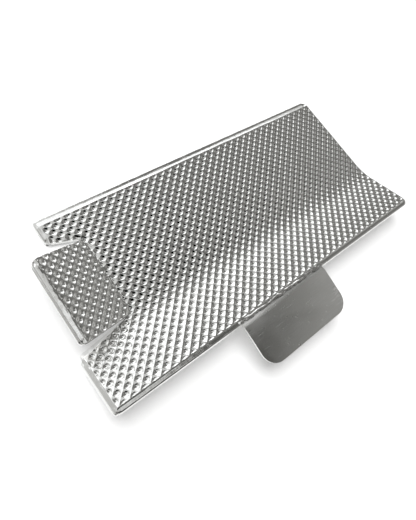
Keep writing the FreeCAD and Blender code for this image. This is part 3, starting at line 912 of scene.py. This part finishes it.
# Short strokes where the tab's free corner was rubbed.
RUBBED = ((CORNER_X + TAB_ALONG + TAB_WIDTH - 1) * MM, -0.0585, 0.0145)
away = tree.nodes.new("ShaderNodeVectorMath")
away.operation = "DISTANCE"
away.inputs[1].default_value = RUBBED
tree.links.new(place, away.inputs[0])
near_corner = ranged(tree, away.outputs["Value"], 0.009, 0.004)
strokes = noise(tree, stretched(tree, place, (180, 1500, 1500), -0.5), 1.0, 1.0)
rubbed = combined(tree, "MULTIPLY", near_corner, ranged(tree, strokes, 0.56, 0.66))
worn_light = combined(tree, "MAXIMUM", marks_on_plate.outputs["Mask"], dirt.outputs["Specks"])
worn_light = combined(tree, "MAXIMUM", worn_light, rubbed)
shade = ranged(tree, combined(tree, "ADD", satin, worn_light), 0.2, 1.6)
tree.links.new(tinted(mill, shade, (0.75, 0.75, 0.735), (0.95, 0.95, 0.94)), shader.inputs["Base Color"])
dull = combined(tree, "SUBTRACT", ranged(tree, satin, 0.15, 0.85, 0.36, 0.5),
                combined(tree, "MULTIPLY", worn_light, 0.2))
tree.links.new(dull, shader.inputs["Roughness"])
bumped(mill, shader, combined(tree, "SUBTRACT", rolled_lines, worn_light), 0.45, 0.0001)
skin.data.materials.clear()
skin.data.materials.append(bright)
plate.data.materials.append(mill)
# The CAD plate has the same finish.
plate_node.data.materials.clear()
plate_node.data.materials.append(mill)
print("finishes:", bright.name, mill.name)

# %% [markdown]
# ## The floor
# The photo shows the shield on plain white. A pale floor under it stands for that. The lamp makes it nearly
# white, and a little glow of its own, seen by the camera and in the metal, does the rest. The glow is weak
# enough for the shield's shadow to stay.

# %% Floor
FLOOR_GREY = 0.7
FLOOR_GLOW = 0.3
scene = bpy.context.scene
scene.view_settings.view_transform = "Standard"
bpy.ops.object.select_all(action="DESELECT")
bpy.ops.mesh.primitive_plane_add(size=6)
floor = bpy.context.object
floor.name = "floor"
floor_paint = bpy.data.materials.new("pale_floor")
floor_paint.use_nodes = True
nodes = floor_paint.node_tree.nodes
links = floor_paint.node_tree.links
paint = nodes["Principled BSDF"]
paint.inputs["Base Color"].default_value = (FLOOR_GREY, FLOOR_GREY, FLOOR_GREY, 1)
paint.inputs["Roughness"].default_value = 0.9
paint.inputs["Specular IOR Level"].default_value = 0.0
paint.inputs["Emission Color"].default_value = (1, 1, 1, 1)


def seen_directly(nodes, links):
    """A value of 1 for what the camera sees, straight or in metal and glass, and 0 for other light."""
    rays = nodes.new("ShaderNodeLightPath")
    first = nodes.new("ShaderNodeMath")
    first.operation = "ADD"
    links.new(rays.outputs["Is Camera Ray"], first.inputs[0])
    links.new(rays.outputs["Is Glossy Ray"], first.inputs[1])
    both = nodes.new("ShaderNodeMath")
    both.operation = "ADD"
    both.use_clamp = True
    links.new(first.outputs[0], both.inputs[0])
    links.new(rays.outputs["Is Transmission Ray"], both.inputs[1])
    return both.outputs[0]


glow = nodes.new("ShaderNodeMath")
glow.operation = "MULTIPLY"
glow.inputs[1].default_value = FLOOR_GLOW
links.new(seen_directly(nodes, links), glow.inputs[0])
links.new(glow.outputs[0], paint.inputs["Emission Strength"])
floor.data.materials.append(floor_paint)
print("floor in m:", round(floor.dimensions.x, 1), "x", round(floor.dimensions.y, 1))

# %% [markdown]
# ## The room
# Bright metal shows what stands round it more than it shows lamps. The room is a grey world with soft glows
# for windows and walls, and a dark side where the camera is. Their places were worked out from the photo,
# where each dent mirrors the room. The camera itself sees the world as white.

# %% Room
ROOM_GREY = 0.17
# Soft glows of the room: azimuth and elevation, where the glow is full and where it ends, and its strength.
ROOM_GLOWS = [
    ("window", 92, 18, 22, 37, 1.0),
    ("low window", 64, 8, 14, 28, 1.0),
    ("ceiling", 40, 80, 4, 13, 0.7),
    ("upper window", 112, 58, 12, 32, 0.7),
    ("side wall", 150, 20, 20, 40, 0.5),
    ("right wall", -28, 53, 10, 36, 0.13),
    ("far wall", -5, 12, 10, 24, 0.35),
    ("low right wall", -48, 10, 12, 30, 0.28),
    ("window edge", 46, 22, 7, 13, 0.55),
    ("low corner", 40, 4, 8, 20, 0.35),
    ("back wall", -120, 8, 24, 42, 0.4),
    ("dark camera side", -150, 60, 32, 78, -0.168),
]


def direction(azimuth, elevation):
    """The direction from the shield towards a place in the room, from angles in degrees."""
    turn, rise = math.radians(azimuth), math.radians(elevation)
    return Vector((math.cos(turn) * math.cos(rise), math.sin(turn) * math.cos(rise), math.sin(rise)))


world = bpy.data.worlds.new("studio")
scene.world = world
world.use_nodes = True
nodes = world.node_tree.nodes
links = world.node_tree.links
way = nodes.new("ShaderNodeTexCoord")
room = None
for name, azimuth, elevation, full, end, strength in ROOM_GLOWS:
    towards = nodes.new("ShaderNodeVectorMath")
    towards.operation = "DOT_PRODUCT"
    towards.inputs[1].default_value = direction(azimuth, elevation)
    links.new(way.outputs["Generated"], towards.inputs[0])
    glow = nodes.new("ShaderNodeMapRange")
    glow.label = name
    glow.interpolation_type = "SMOOTHSTEP"
    glow.inputs["From Min"].default_value = math.cos(math.radians(end))
    glow.inputs["From Max"].default_value = math.cos(math.radians(full))
    glow.inputs["To Min"].default_value = 0
    glow.inputs["To Max"].default_value = strength
    links.new(towards.outputs["Value"], glow.inputs["Value"])
    total = nodes.new("ShaderNodeMath")
    total.operation = "ADD"
    links.new(glow.outputs["Result"], total.inputs[0])
    if room is None:
        total.inputs[1].default_value = ROOM_GREY
    else:
        links.new(room, total.inputs[1])
    room = total.outputs[0]
backdrop = nodes.new("ShaderNodeMix")
backdrop.inputs["B"].default_value = 1.0
rays = nodes.new("ShaderNodeLightPath")
links.new(rays.outputs["Is Camera Ray"], backdrop.inputs["Factor"])
links.new(room, backdrop.inputs["A"])
links.new(backdrop.outputs["Result"], nodes["Background"].inputs["Strength"])
# The bright parts of the room are daylight, and its dim parts are a little warmer.
tint = nodes.new("ShaderNodeMix")
tint.data_type = "RGBA"
tint.inputs["A"].default_value = (1, 0.985, 0.93, 1)
tint.inputs["B"].default_value = (0.985, 0.995, 1, 1)
links.new(backdrop.outputs["Result"], tint.inputs["Factor"])
links.new(tint.outputs["Result"], nodes["Background"].inputs["Color"])
print("glows in the room:", len(ROOM_GLOWS))

# %% [markdown]
# ## The key lamp
# One wide, soft sun lights the floor and casts the shadow. Metal doesn't mirror it, because the room's glows
# already give the metal its lights.

# %% Key lamp
KEY_STRENGTH = 3.1
KEY_ANGLE = math.radians(50)
KEY_PLACE = (85, 68)
key_data = bpy.data.lights.new("key", "SUN")
key_data.energy = KEY_STRENGTH
key_data.angle = KEY_ANGLE
key = bpy.data.objects.new("key", key_data)
key.rotation_euler = direction(*KEY_PLACE).to_track_quat("Z", "Y").to_euler()
key.visible_glossy = False
scene.collection.objects.link(key)
print("key lamp:", key_data.energy)

# %% [markdown]
# ## The camera
# The camera stands where the photo was taken from. Its place, its directions and its focal length were fitted
# to the grid of dents, which gives many points at known distances.

# %% Camera
EYE = Vector((-128.8, -36.1, 207.6)) * MM
LOOK = Vector((0.434, 0.160, -0.886)).normalized()
HEAD = Vector((0.468, 0.801, 0.374)).normalized()
FOCAL_PIXELS = 399
FRAME_HEIGHT = 520
SENSOR = 36
side = LOOK.cross(HEAD).normalized()
turn = Matrix((side, side.cross(LOOK), -LOOK)).transposed()
camera_data = bpy.data.cameras.new("camera")
camera_data.sensor_width = SENSOR
camera_data.lens = FOCAL_PIXELS / FRAME_HEIGHT * SENSOR
camera_data.clip_start = 0.01
camera = bpy.data.objects.new("camera", camera_data)
camera.matrix_world = Matrix.Translation(EYE) @ turn.to_4x4()
scene.collection.objects.link(camera)
scene.camera = camera
print("lens in mm:", round(camera_data.lens, 1))
